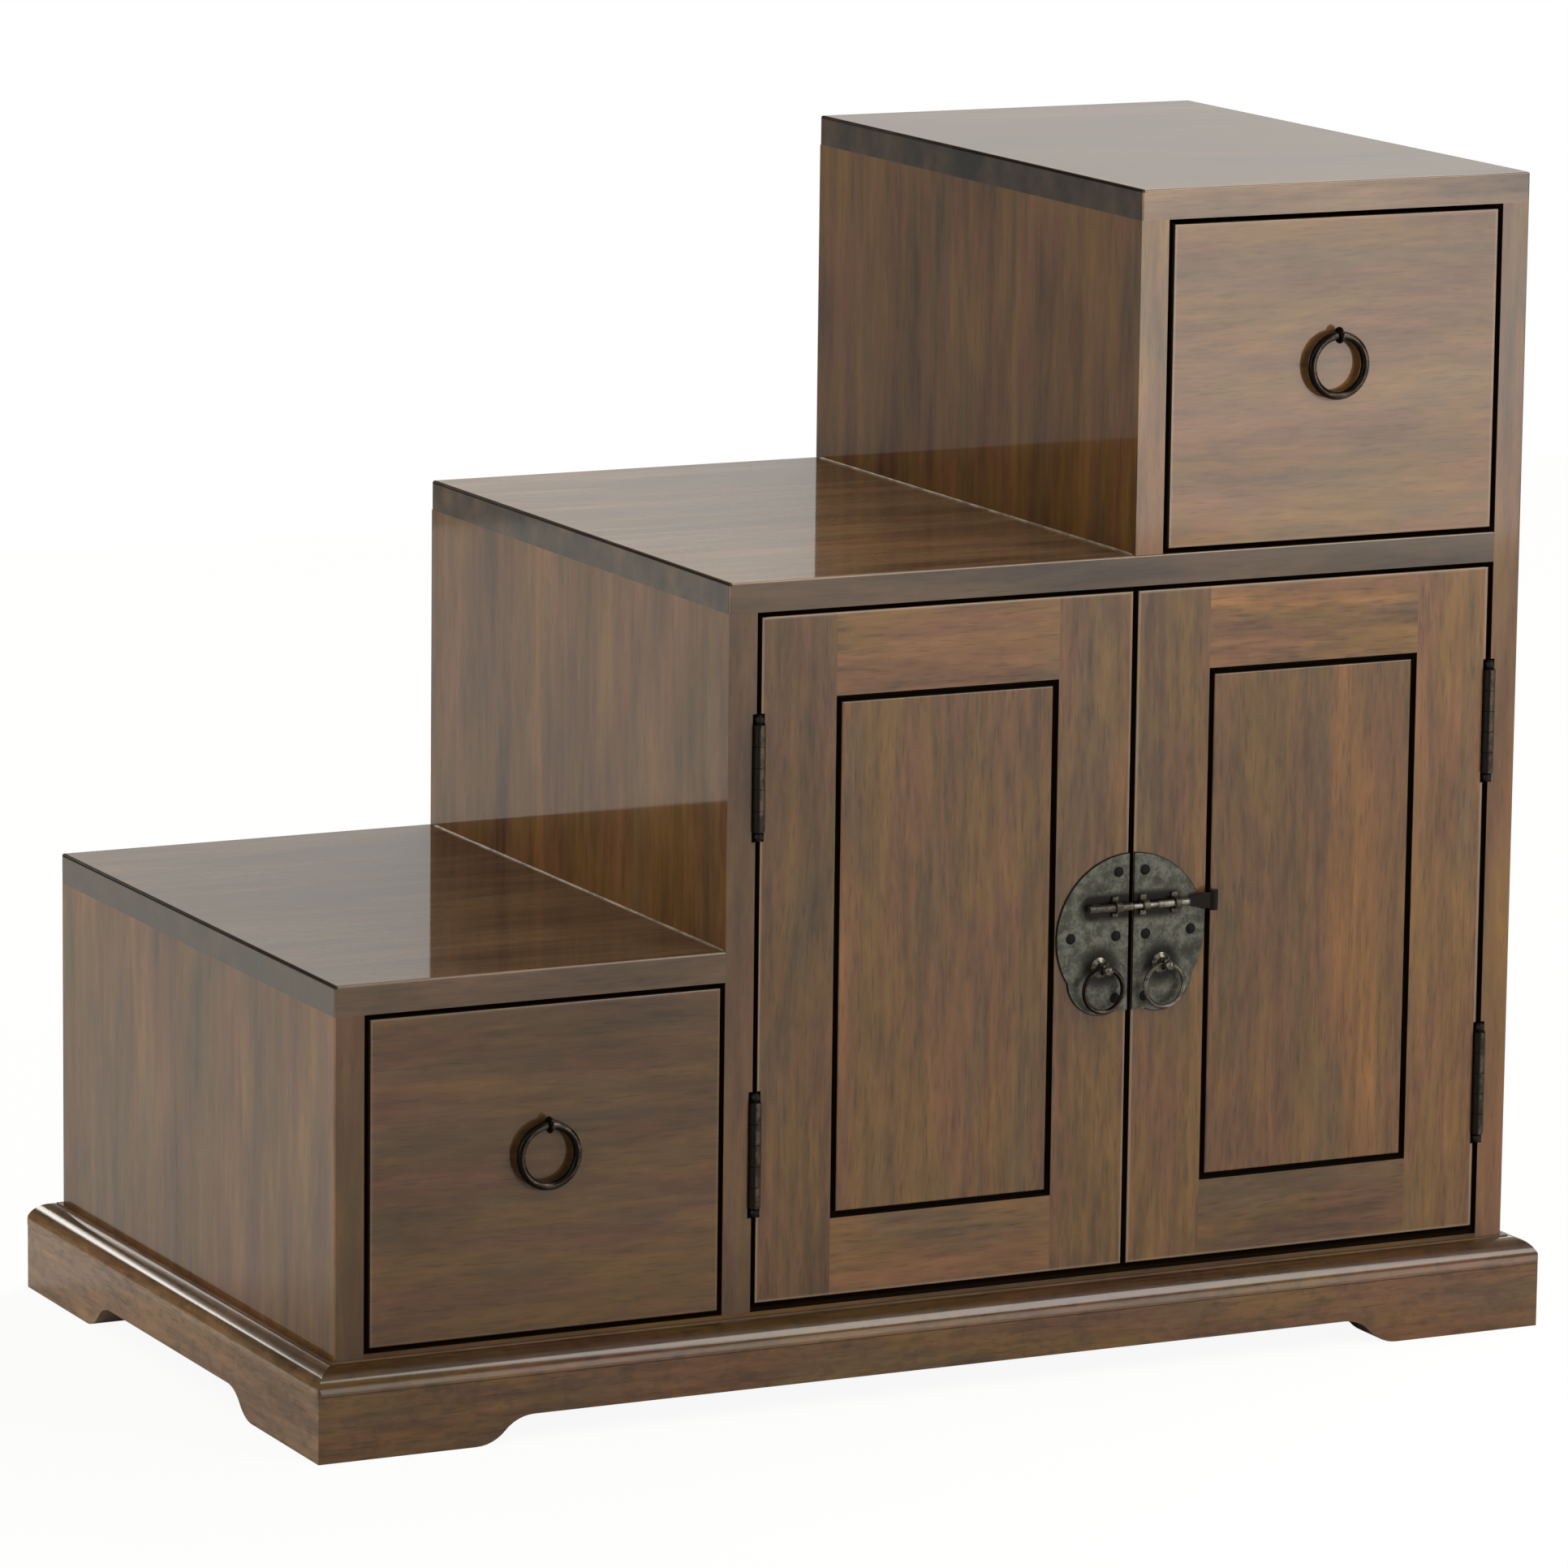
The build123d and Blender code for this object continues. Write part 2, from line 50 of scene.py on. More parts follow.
def shade(red, green, blue):
    """A colour written as 0 to 255 screen values, as the linear values that shaders take."""
    screen = np.array((red, green, blue)) / 255
    linear = np.where(screen > 0.04045, ((screen + 0.055) / 1.055) ** 2.4, screen / 12.92)
    return (*linear.tolist(), 1.0)


# ---- shader writing ----

class Field:
    """What a shader node puts out. Arithmetic on it adds the Math nodes that work it out."""

    def __init__(self, tree, socket):
        self.tree = tree
        self.socket = socket

    def _math(self, operation, *values):
        node = self.tree.nodes.new("ShaderNodeMath")
        node.operation = operation
        for place, value in zip(node.inputs, values):
            plug(self.tree, place, value)
        return Field(self.tree, node.outputs[0])

    def __add__(self, other):
        return self._math("ADD", self, other)

    def __sub__(self, other):
        return self._math("SUBTRACT", self, other)

    def __rsub__(self, other):
        return self._math("SUBTRACT", other, self)

    def __mul__(self, other):
        return self._math("MULTIPLY", self, other)

    def __abs__(self):
        return self._math("ABSOLUTE", self)

    def __gt__(self, other):
        return self._math("GREATER_THAN", self, other)

    def __lt__(self, other):
        return self._math("LESS_THAN", self, other)

    def larger(self, other):
        return self._math("MAXIMUM", self, other)

    def smaller(self, other):
        return self._math("MINIMUM", self, other)

    __radd__ = __add__
    __rmul__ = __mul__


def plug(tree, place, value):
    """Gives a socket its value: a link from a field, or a constant."""
    if isinstance(value, Field):
        tree.links.new(value.socket, place)
    elif place.type == "VECTOR":
        place.default_value = value[:3]
    else:
        place.default_value = value


class Nodes:
    """A node tree written by calls: one method for any node, and a few that are used often."""

    def __init__(self, tree):
        self.tree = tree

    def node(self, kind, settings=None, sockets=None, out=0):
        """Adds a node of a type: its settings first, then the values or links of its sockets."""
        node = self.tree.nodes.new("ShaderNode" + kind)
        for setting, value in (settings or {}).items():
            setattr(node, setting, value)
        for socket, value in (sockets or {}).items():
            plug(self.tree, node.inputs[socket], value)
        return Field(self.tree, node.outputs[out])

    def parts(self, vector):
        return [self.node("SeparateXYZ", sockets={0: vector}, out=i) for i in range(3)]

    def noise(self, place, detail=2.0, roughness=0.5):
        """Smooth noise from 0 to 1, mostly near a half, at a place whose parts are in cells."""
        vector = self.node("CombineXYZ", sockets=dict(enumerate(place)))
        return self.node(
            "TexNoise",
            sockets={"Vector": vector, "Scale": 1.0, "Detail": detail, "Roughness": roughness},
        )

    def between(self, value, low, high):
        """0 below low, 1 above high, and a smooth rise between them."""
        return self.node(
            "MapRange",
            {"interpolation_type": "SMOOTHSTEP"},
            {"Value": value, "From Min": low, "From Max": high},
        )

    def mixed(self, factor, first, second):
        """A colour that goes from the first to the second with the factor."""
        return self.node("Mix", {"data_type": "RGBA"}, {0: factor, 6: first, 7: second}, out=2)

    def scaled(self, color, amount):
        return self.node("VectorMath", {"operation": "SCALE"}, {0: color, "Scale": amount})

    def distance(self, place, point):
        """How far a place lies from a point."""
        return self.node("VectorMath", {"operation": "DISTANCE"}, {0: place, 1: point}, out=1)


class Finish(Nodes):
    """A material with one Principled shader, whose constants are given by socket name."""

    def __init__(self, name, **constants):
        self.material = bpy.data.materials.new(name)
        self.material.use_nodes = True
        super().__init__(self.material.node_tree)
        self.tree.nodes.clear()
        self.shader = self.tree.nodes.new("ShaderNodeBsdfPrincipled")
        self.output = self.tree.nodes.new("ShaderNodeOutputMaterial")
        self.tree.links.new(self.shader.outputs[0], self.output.inputs[0])
        for socket, value in constants.items():
            self.shader.inputs[socket.replace("_", " ")].default_value = value
        self.place = self.node("TexCoord", out="Object")
        self.facing = self.node("TexCoord", out="Normal")

    def set(self, socket, field):
        plug(self.tree, self.shader.inputs[socket], field)

    def bump(self, height, distance):
        """Relief whose height of 0 to 1 stands for so many metres."""
        sockets = {"Height": height, "Distance": distance, "Strength": 1.0}
        self.set("Normal", self.node("Bump", sockets=sockets))

    def speckle(self, cells, detail=2.0, roughness=0.5):
        """Noise with so many cells a metre in every direction."""
        place = [part * cells for part in self.parts(self.place)]
        return self.noise(place, detail, roughness)


def along_grain(axis, place, number):
    """The place read along, across and through a board whose grain runs along one axis. Its
    number moves each board to a part of the timber of its own."""
    x, y, z = place
    orders = {"X": (x, y, z), "Y": (y, z, x), "Z": (z, x, y)}
    return [part + 1.7 * number for part in orders[axis]]


def paint(node, material):
    """Gives a board or fitting its finish."""
    for slot in nodes[node].material_slots:
        slot.material = material


# ---- wood ----

rosy_brown = shade(98, 65, 39)
honey_brown = shade(96, 68, 32)
ash_brown = shade(82, 63, 39)
gold_brown = shade(119, 77, 37)
# The brown below stands for wear of the colour, and partly paints a greyish sheen.
wear_and_sheen_brown = shade(90, 71, 54)
end_grey = shade(66, 61, 50)
# The tan below paints the highlight along the arrises of boards.
arris_highlight_tan = shade(160, 138, 116)
# The black below paints shade: in the gaps and grooves, along the edges of the fronts, beside the
# drawer rings, and as the dark reflection along the treads' ends. The brown after it stains the
# insides.
gap_black = shade(20, 14, 10)
inner_brown = shade(78, 55, 38)
plain_pale = shade(168, 134, 97)
plain_tan = shade(147, 112, 77)

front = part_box("left_side")[0].y  # where the case, its doors and its drawers end in front
hair = 0.0002  # metres of slack round a place that a board's box gives
face_skin = 0.0015  # metres behind the front that still belong to a door's or drawer's face
arris = (0.0005, 0.0020)  # metres in from an edge between which the painted highlight on its arris fades
ring_shadow_depth = 0.35  # how dark the painted shadow is that a hanging ring casts on the wood


def sideways(facing):
    """The faces that look left, right, up or down."""
    return abs(facing[1]) < 0.3


def lacquered(
    name, along, tone, number, hidden, front_tone=1.0, end_tone=1.0, fine=1.0, patchy=0.7,
    grey=0.0, coat=1.0, moulded=False, rim=None,
):
    """Stained wood under clear lacquer. The colour drifts between rosy, honey and ash brown in long
    soft patches, with a rare golden band, over streaks and flecks a few millimetres wide and fine
    dark pores. Fine is how strong the streaks, flecks and pores are, patchy how strong the smaller
    patches are, and the greying how far the colour goes to a greyer brown, which stands for wear
    and partly paints a greyish sheen. The tones scale the whole board, its front and its left end.
    The hidden places are dull and dark: black just behind the front, which paints the shade in the
    gaps and grooves, and stained dark brown further in. Moulded boards are blotchy, darker where
    the faces of the moulding lean back from upright, which is painted shade, and duller on the
    upper part of its curve. A rim paints a highlight along the arris and a dark line of painted
    shade at the board's edge."""
    finish = Finish(name, Coat_Roughness=0.12 if moulded else 0.05, Specular_IOR_Level=0.08)
    place = finish.parts(finish.place)
    facing = finish.parts(finish.facing)
    x, y, z = place
    long, wide, thick = along_grain(along, place, number)
    sway = (finish.noise((long * 4.0, wide * 9.0, thick * 9.0), 1.0) - 0.5) * 0.012
    wide = wide + sway
    thick = thick + sway

    def figure(lengthwise, crosswise, detail=2.0, roughness=0.5):
        """Noise with so many cells a metre along the grain and across it."""
        cells = (long * lengthwise, wide * crosswise, thick * crosswise)
        return finish.noise(cells, detail, roughness)

    drift = figure(3.0, 14.0, 1.0)
    hue = figure(9.0, 42.0)
    ash = figure(7.0, 33.0 + number % 3)
    band = figure(1.3, 26.0, 1.0)
    streak = figure(17.0, 190.0, 3.0, 0.55)
    fleck = figure(55.0, 250.0, 3.0, 0.6)
    patch = figure(10.0, 66.0)
    pores = finish.between(figure(62.0, 900.0, 1.0), 0.54, 0.74)
    color = finish.mixed(finish.between(hue, 0.40, 0.60), rosy_brown, honey_brown)
    color = finish.mixed(0.7 * finish.between(ash, 0.50, 0.68), color, ash_brown)
    color = finish.mixed(0.6 * finish.between(band, 0.66, 0.72), color, gold_brown)
    # Greying that stands for wear, and partly paints a greyish sheen.
    color = finish.mixed(grey, color, wear_and_sheen_brown)
    depth = 1.0 + 1.1 * (drift - 0.5) + 0.55 * (hue - 0.5) + patchy * (patch - 0.5)
    depth = depth + fine * (1.3 * streak + 0.9 * fleck - 1.1)
    depth = depth * (1.0 - 0.34 * fine * pores) * tone
    depth = depth * (1.0 - (1.0 - front_tone) * (facing[1] < -0.9))
    sheen = coat
    if moulded:
        upper_curve = finish.between(facing[2], 0.66, 0.78) * (facing[1] < -0.2)
        sheen = coat * (1.0 - 0.8 * upper_curve)
        blotches = finish.noise((x * 95.0, y * 95.0, z * 150.0), 2.0, 0.6)
        upright = abs(facing[0]).larger(abs(facing[1]))
        depth = depth * (1.0 - 0.22 * finish.between(blotches, 0.50, 0.66))
        # Painted shade: the faces of the moulding that lean back from upright are darker.
        depth = depth * (0.55 + 0.45 * finish.between(upright, 0.75, 0.98))
    color = finish.scaled(color, depth)
    grain = finish.speckle(240.0, 3.0)
    mottle = finish.speckle(40.0)
    end = finish.scaled(end_grey, 0.55 + 0.45 * grain + 0.45 * mottle)
    end = finish.scaled(end, 1.0 - (1.0 - end_tone) * (facing[0] < 0.0))
    ends = abs(facing["XYZ".index(along)]) > 0.8
    color = finish.mixed(ends * (0.35 + 0.9 * mottle).smaller(1.0), color, end)
    dull = hidden(place, facing)
    # Black just behind the front paints the shade in the gaps and grooves. Further in, the hidden
    # faces are stained dark brown.
    inner = finish.between(y, front + 0.002, front + 0.009) * sideways(facing)
    inner = inner.larger(finish.between(y, front + 0.02, front + 0.05))
    shade_and_stain = finish.mixed(inner, gap_black, inner_brown)
    # A rim paints a highlight along the arris and a dark line of painted shade at the edge.
    if rim:
        light, dark = rim(finish, place)
        color = finish.mixed(light, color, arris_highlight_tan)
        color = finish.mixed(dull, color, shade_and_stain)
        color = finish.mixed(dark, color, gap_black)
        dull = dull.larger(dark)
    else:
        color = finish.mixed(dull, color, shade_and_stain)
    finish.set("Base Color", color)
    finish.set("Roughness", 0.42 + 0.15 * streak + 0.4 * dull)
    finish.set("Coat Weight", sheen * (1.0 - dull))
    finish.bump(streak * 0.5 - pores, 0.00005)
    return finish.material


def plain_wood(name, along, number):
    """Planed, unstained wood for the insides."""
    finish = Finish(name, Specular_IOR_Level=0.35)
    long, wide, thick = along_grain(along, finish.parts(finish.place), number)
    band = finish.noise((long * 2.2, wide * 34.0, thick * 34.0), 2.0)
    line = finish.noise((long * 5.0, wide * 160.0, thick * 160.0), 3.0)
    streak = finish.noise((long * 24.0, wide * 620.0, thick * 620.0), 3.0)
    drift = 0.5 * band + 0.5 * line
    color = finish.mixed(finish.between(drift, 0.38, 0.62), plain_pale, plain_tan)
    finish.set("Base Color", finish.scaled(color, 0.78 + 0.36 * streak))
    finish.set("Roughness", 0.55 + 0.2 * streak)
    finish.bump(streak, 0.0001)
    return finish.material


def bay(left, right, floor, ceiling):
    """The middle and half size, in x and z, of the bay between four boards."""
    x = (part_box(left)[1].x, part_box(right)[0].x)
    z = (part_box(floor)[1].z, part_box(ceiling)[0].z)
    return sum(x) / 2, (x[1] - x[0]) / 2, sum(z) / 2, (z[1] - z[0]) / 2


low_bay = bay("left_side", "second_step_side", "bottom_board", "first_tread")
door_bay = bay("second_step_side", "right_side", "bottom_board", "second_tread")
high_bay = bay("third_step_side", "right_side", "second_tread", "third_tread")
hinge_pins = [sum(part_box(f"{hand}_hinge_pins"), Vector()).x / 2 for hand in ("left", "right")]
barrel_room = 0.0039  # metres beside the middle of a pin that its barrels take up


def round_hinges(place):
    """The wood behind the front, close round the hinge barrels."""
    x, y, z = place
    left, right = hinge_pins
    near = (abs(x - left) < barrel_room).larger(abs(x - right) < barrel_room)
    middle_z, half_z = door_bay[2:]
    return near * (y > front + hair) * (abs(z - middle_z) < half_z + hair)


def inside_bays(place, facing):
    """The faces of the carcase that look into its bays."""
    x, y, z = place
    inside = round_hinges(place)
    for middle_x, half_x, middle_z, half_z in (low_bay, door_bay, high_bay):
        within = (abs(x - middle_x) < half_x + hair) * (abs(z - middle_z) < half_z + hair)
        inside = inside.larger(within * (y > front + 2 * hair))
    return inside


def behind_face(place, facing):
    """The edges of a door's or drawer's front boards, and what lies in the grooves between them."""
    y = place[1]
    groove = y > front + 0.002
    behind = (y > front + hair) * (facing[1] < 0.5)
    return (behind * sideways(facing).larger(groove)).larger(round_hinges(place))


def tread_rim(node):
    """A painted dark reflection along the upper edge of a tread's free end, and a painted
    highlight along its front.
    """
    low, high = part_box(node)
    highlight_width, dark_reflection_width, edge_skin = 0.0009, 0.0016, 0.0006

    def lines(finish, place):
        x, y, z = place
        light = 0.35 * (y < front + edge_skin) * (z > high.z - highlight_width)
        dark = 0.8 * (x < low.x + dark_reflection_width) * (z > high.z - dark_reflection_width)
        return light, dark

    return lines


def front_rim(low, high, left_line=0.0, right_line=0.0, other_line=0.0, ring=None, wear_and_highlight=0.45):
    """A painted highlight on the arris just inside the edges of a door, panel or drawer front, a
    dark line of painted shade of a given width at the very edge, and the painted shadow that a
    hanging ring casts on the wood."""

    def lines(finish, place):
        x, y, z = place
        left, right = x - low.x - left_line, high.x - right_line - x
        upright = (z - low.z - other_line).smaller(high.z - other_line - z)
        inwards = left.smaller(right).smaller(upright)
        # A painted highlight along the arris, and a dark line of painted shade at the very edge.
        light = wear_and_highlight * (1.0 - finish.between(inwards, *arris))
        dark = inwards < 0.0
        # The ring's painted shadow: a dark circle on the wood, a little left of the ring and below
        # it.
        if ring:
            low_ring, high_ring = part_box(ring)
            middle = (low_ring + high_ring) / 2
            wire = high_ring.y - low_ring.y
            reach = (high_ring.x - low_ring.x - wire) / 2
            shadow_middle = (middle.x - 0.0015, front, middle.z - 0.0004)  # a little left of it and below
            off_shadow = abs(finish.distance(finish.place, shadow_middle) - reach)
            ring_shadow = 1.0 - finish.between(off_shadow, 0.5 * wire, 0.8 * wire)
            dark = dark.larger(ring_shadow_depth * ring_shadow)
        on_face = y < front + face_skin
        return light * on_face, dark * on_face

    return lines


# The grain and the tone of each board of the case, and what else sets it apart.
case_boards = {
    "left_side": ("Z", 1.43, {"front_tone": 0.43}),
    "right_side": ("Z", 1.16, {}),
    "second_step_side": ("Z", 1.58, {"front_tone": 0.5, "grey": 0.15}),
    "third_step_side": ("Z", 1.2, {"front_tone": 1.3}),
    "first_tread": ("X", 1.27, {"front_tone": 0.72}),
    "second_tread": ("X", 2.3, {"front_tone": 0.28, "end_tone": 0.5}),
    "third_tread": ("X", 1.45, {"front_tone": 1.1, "end_tone": 0.15}),
    "bottom_board": ("X", 0.95, {"coat": 0.4}),
}
# The grain and the tone of each plinth board, and how far it goes to a greyer brown, which stands
# for wear and partly paints a greyish sheen.
plinth_boards = {
    "front_plinth": ("X", 0.91, 0.0), "back_plinth": ("X", 1.1, 0.0),
    "left_plinth": ("Y", 2.5, 0.6), "right_plinth": ("Y", 1.1, 0.0),
}
# The tone of each drawer front, how bright the painted highlight on its arris is, and how wide its
# dark lines of painted shade are: left, right, and both above and below.
drawer_fronts = {
    "low_drawer": (0.83, 0.12, (0.0009, 0.0002, 0.0003)),
    "high_drawer": (1.25, 0.3, (0.0010, 0.0006, 0.0003)),
}
# The boards of a door with their grain, then each door's dark line of painted shade at the right,
# and its tones in the order of the boards.
door_boards = (
    ("panel", "Z"), ("bottom_rail", "X"), ("top_rail", "X"), ("hinge_stile", "Z"),
    ("meeting_stile", "Z"),
)
doors = {
    "left_door": (0.0, (0.95, 1.16, 1.2, 0.83, 1.14)),
    "right_door": (0.0009, (0.95, 0.94, 1.67, 1.19, 1.02)),
}
inner_grain = {
    "back_panel": "Z", "stops": "Y", "door_stop": "X", "corner_blocks": "Z",
    "_left_side": "Y", "_right_side": "Y", "_back": "X", "_bottom": "X",
}


def wooden():
    """Every wooden board and its finish."""
    boards = []
    for node, (along, tone, extras) in case_boards.items():
        extras = {"fine": 0.6, "patchy": 1.5, **extras}
        if node.endswith("tread"):
            extras.update(grey=0.7, rim=tread_rim(node))
        boards.append((node, along, tone, inside_bays, extras))
    for node, (along, tone, grey) in plinth_boards.items():
        boards.append((node, along, tone, inside_bays, {"moulded": True, "grey": grey}))
    for drawer, (tone, wear_and_highlight, dark_lines) in drawer_fronts.items():
        node = f"{drawer}_front"
        rim = front_rim(*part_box(node), *dark_lines, ring=f"{drawer}_ring", wear_and_highlight=wear_and_highlight)
        boards.append((node, "X", tone, behind_face, {"rim": rim, "fine": 0.75}))
    for door, (right_line, tones) in doors.items():
        stiles = (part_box(f"{door}_{stile}_stile") for stile in ("hinge", "meeting"))
        lows, highs = zip(*stiles)
        whole = front_rim(Vector(map(min, *lows)), Vector(map(max, *highs)), 0.0, right_line)
        for (board, along), tone in zip(door_boards, tones):
            node = f"{door}_{board}"
            rim = front_rim(*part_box(node)) if board == "panel" else whole
            boards.append((node, along, tone, behind_face, {"rim": rim}))
    for number, (node, along, tone, hidden, extras) in enumerate(boards):
        paint(node, lacquered(f"{node}_wood", along, tone, number, hidden, **extras))
    stained = {board[0] for board in boards}
    plain = [
        (node, along) for node in nodes if node not in stained
        for ending, along in inner_grain.items() if node.endswith(ending)
    ]
    for number, (node, along) in enumerate(plain, len(boards)):
        paint(node, plain_wood(f"{node}_wood", along, number))


# ---- metal ----

plate_low, plate_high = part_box("left_lock_plate")[0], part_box("right_lock_plate")[1]
plate_middle = (plate_low.x + plate_high.x) / 2
bolt_low, bolt_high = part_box("sliding_bolt")
bolt_height = (bolt_low.z + bolt_high.z) / 2
# Near black for painted shade, and for the dirty smudges on the lock plate.
shade_and_dirt_black = shade(22, 19, 16)


def antique(name, color, wear_and_highlight, metallic, roughness, shade_and_dirt_mask=None, gloss=0.5):
    """Darkened metal: a mottled patina that is lighter in places with wear, and near black where
    its mask lays painted shade and, on the lock plate, dirty smudges.
    """
    finish = Finish(name, Metallic=metallic, Specular_IOR_Level=gloss)
    cloud = finish.speckle(130.0, 4.0, 0.6)
    fleck = finish.speckle(700.0)
    blend = finish.between(cloud * 0.7 + fleck * 0.3, 0.40, 0.62)
    patina = finish.mixed(blend, color, wear_and_highlight)
    if shade_and_dirt_mask:
        # The mask lays painted shade, and on the lock plate dirty smudges too.
        shade_and_dirt = shade_and_dirt_mask(finish) * (0.55 + 0.9 * cloud)
        patina = finish.mixed(finish.between(shade_and_dirt, 0.12, 0.85), patina, shade_and_dirt_black)
    finish.set("Base Color", patina)
    finish.set("Roughness", roughness + 0.18 * (cloud - 0.5) + 0.1 * (fleck - 0.5))
    finish.bump(cloud + 0.4 * fleck, 0.00012)
    return finish.material


def plate_shade_and_dirt(finish):
    """Painted shade on the lock plate: along its rim, on both sides of the bolt and round the
    pulls;
    and a few dirty smudges."""
    x, _, z = finish.parts(finish.place)
    rim = abs(finish.parts(finish.facing)[1]) < 0.9
    beside_bolt = 1.0 - finish.between(abs(z - bolt_height), 0.003, 0.0115)
    beside_bolt = beside_bolt * (1.0 - finish.between(abs(x - plate_middle), 0.024, 0.036))
    shade_and_dirt = rim.larger(beside_bolt)
    for hand in ("left", "right"):
        low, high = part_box(f"{hand}_pull_post")
        foot = Vector((low.x + high.x, 2 * high.y, low.z + high.z)) / 2
        near = 1.0 - finish.between(finish.distance(finish.place, foot), 0.006, 0.019)
        shade_and_dirt = shade_and_dirt.larger(0.75 * near)
    return shade_and_dirt.larger(0.5 * finish.between(finish.speckle(85.0), 0.46, 0.72))


def ring_left_shade(finish):
    """Painted shade: the drawer rings are blackest on the side that faces left."""
    return 0.9 * (1.0 - finish.between(finish.parts(finish.facing)[0], -0.35, 0.25))


def tail_shade(finish):
    """Painted shade: the bolt's tail and scroll are darker than its rod."""
    x = finish.parts(finish.place)[0]
    return finish.between(x, bolt_high.x - 0.02, bolt_high.x - 0.016)


def barrel_shade(finish):
    """Painted shade down both sides of the hinge barrels, more of it on the left."""
    x = finish.parts(finish.place)[0]
    left, right = hinge_pins
    beside = x - right + (right - left) * (abs(x - left) < abs(x - right))
    left_shade = 1.0 - finish.between(beside, -0.0016, -0.0004)
    return finish.between(beside, 0.0014, 0.0024).larger(left_shade)


def metal():
    """The finishes of the fittings: a dark tone, a lighter one where wear shows, how metallic and
    how rough.
    """
    barrel = antique("hinge_metal", shade(44, 37, 29), shade(86, 74, 59), 0.8, 0.42, barrel_shade)
    pin = antique("pin_metal", shade(10, 8, 7), shade(22, 18, 15), 0.4, 0.45, gloss=0.3)
    iron = antique("ring_metal", shade(50, 43, 37), shade(84, 74, 65), 0.95, 0.26, ring_left_shade)
    nail = antique("nail_metal", shade(8, 7, 6), shade(20, 17, 14), 0.0, 0.6, gloss=0.15)
    dark = antique("screw_metal", shade(30, 26, 22), shade(56, 49, 42), 0.9, 0.35)
    plate = antique("lock_metal", shade(62, 62, 55), shade(97, 97, 89), 0.75, 0.45, plate_shade_and_dirt)
    post = antique("pull_metal", shade(70, 66, 58), shade(118, 114, 104), 0.85, 0.26)
    guide = antique("guide_metal", shade(48, 45, 39), shade(88, 84, 75), 0.8, 0.38)
    bolt = antique("bolt_metal", shade(96, 94, 84), shade(140, 136, 124), 0.85, 0.34, tail_shade)
    finishes = {
        "leaves": barrel, "hinge_pins": pin, "_eye": iron, "lock_plate": plate, "pull_post": post,
        "guides": guide, "keeper": guide, "sliding_bolt": bolt,
    }
    for node in nodes:
        for ending, finish in finishes.items():
            if node.endswith(ending):
                paint(node, finish)
    return {"iron": iron, "post": post, "nail": nail, "dark": dark}


# ---- made pieces ----

def surfaces(name, grids, closed, material, body):
    """One smooth mesh of surfaces, each through a grid of points. The grids share one shape, and
    closed says of each of their two directions whether it returns to its start."""
    grids = np.asarray(grids)
    count, rows, columns = grids.shape[:3]
    u, v = np.meshgrid(
        np.arange(rows if closed[0] else rows - 1),
        np.arange(columns if closed[1] else columns - 1),
        indexing="ij",
    )
    next_u = (u + 1) % rows
    next_v = (v + 1) % columns
    quads = np.stack(
        [u * columns + v, next_u * columns + v, next_u * columns + next_v, u * columns + next_v], -1
    ).reshape(-1, 4)
    starts = np.arange(count) * rows * columns
    faces = (quads[None] + starts[:, None, None]).reshape(-1, 4)
    mesh = bpy.data.meshes.new(name)
    mesh.from_pydata(grids.reshape(-1, 3).tolist(), [], faces.tolist())
    shape = bmesh.new()
    shape.from_mesh(mesh)
    bmesh.ops.remove_doubles(shape, verts=shape.verts, dist=1e-7)
    shape.to_mesh(mesh)
    shape.free()
    mesh.polygons.foreach_set("use_smooth", np.ones(len(mesh.polygons), bool))
    mesh.materials.append(material)
    piece = bpy.data.objects.new(name, mesh)
    bpy.context.scene.collection.objects.link(piece)
    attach(piece, body)
    return piece


def wire_ring(node, body, material):
    """A round wire ring in the place of a plainer one, whose wire has eight sides. A point is the
    ring's centre, plus the radius to the wire's middle along the turn u, plus the wire's radius
    along the turn v in the plane that u and the ring's axis span."""
    low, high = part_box(node)
    middle = (low + high) / 2
    plain_sides, steps_round, wire_sides = 8, 96, 24
    wire = (high.y - low.y) / 2 / math.cos(math.pi / plain_sides)
    reach = (high.x - low.x) / 2 - wire
    u, v = np.meshgrid(
        np.linspace(0, 2 * np.pi, steps_round, endpoint=False),
        np.linspace(0, 2 * np.pi, wire_sides, endpoint=False), indexing="ij",
    )
    out = reach + wire * np.cos(v)
    points = np.stack(
        [middle.x + out * np.sin(u), middle.y + wire * np.sin(v), middle.z + out * np.cos(u)], -1
    )
    ring = surfaces(f"{node}_round", [points], (True, True), material, body)
    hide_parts(node)


def rings(metals):
    """The rings of the two drawers and of the two doors."""
    for hand in ("low", "high"):
        wire_ring(f"{hand}_drawer_ring", f"{hand}_drawer_pull", metals["iron"])
    for hand, finish in (("left", "iron"), ("right", "post")):
        wire_ring(f"{hand}_pull_ring", f"{hand}_door_pull", metals[finish])


def domes(name, centres, across, radius, height, material, body):
    """Shallow domed heads on a face that two unit vectors span, whose cross product points out of
    it. Over the angle v from the tip, the reach from the axis is the radius times sin v, and the
    rise the height times cos v. The last row closes the back."""
    u = np.linspace(0, 2 * np.pi, 20, endpoint=False)[:, None, None]
    v = np.linspace(0, np.pi / 2, 7)
    reach = radius * np.append(np.sin(v), 0.0)[None, :, None]
    rise = height * np.append(np.cos(v), 0.0)[None, :, None]
    first, second = np.array(across)
    head = reach * (np.sin(u) * first + np.cos(u) * second) + rise * np.cross(first, second)
    grids = [head + np.array(centre) for centre in centres]
    surfaces(name, grids, (True, False), material, body)


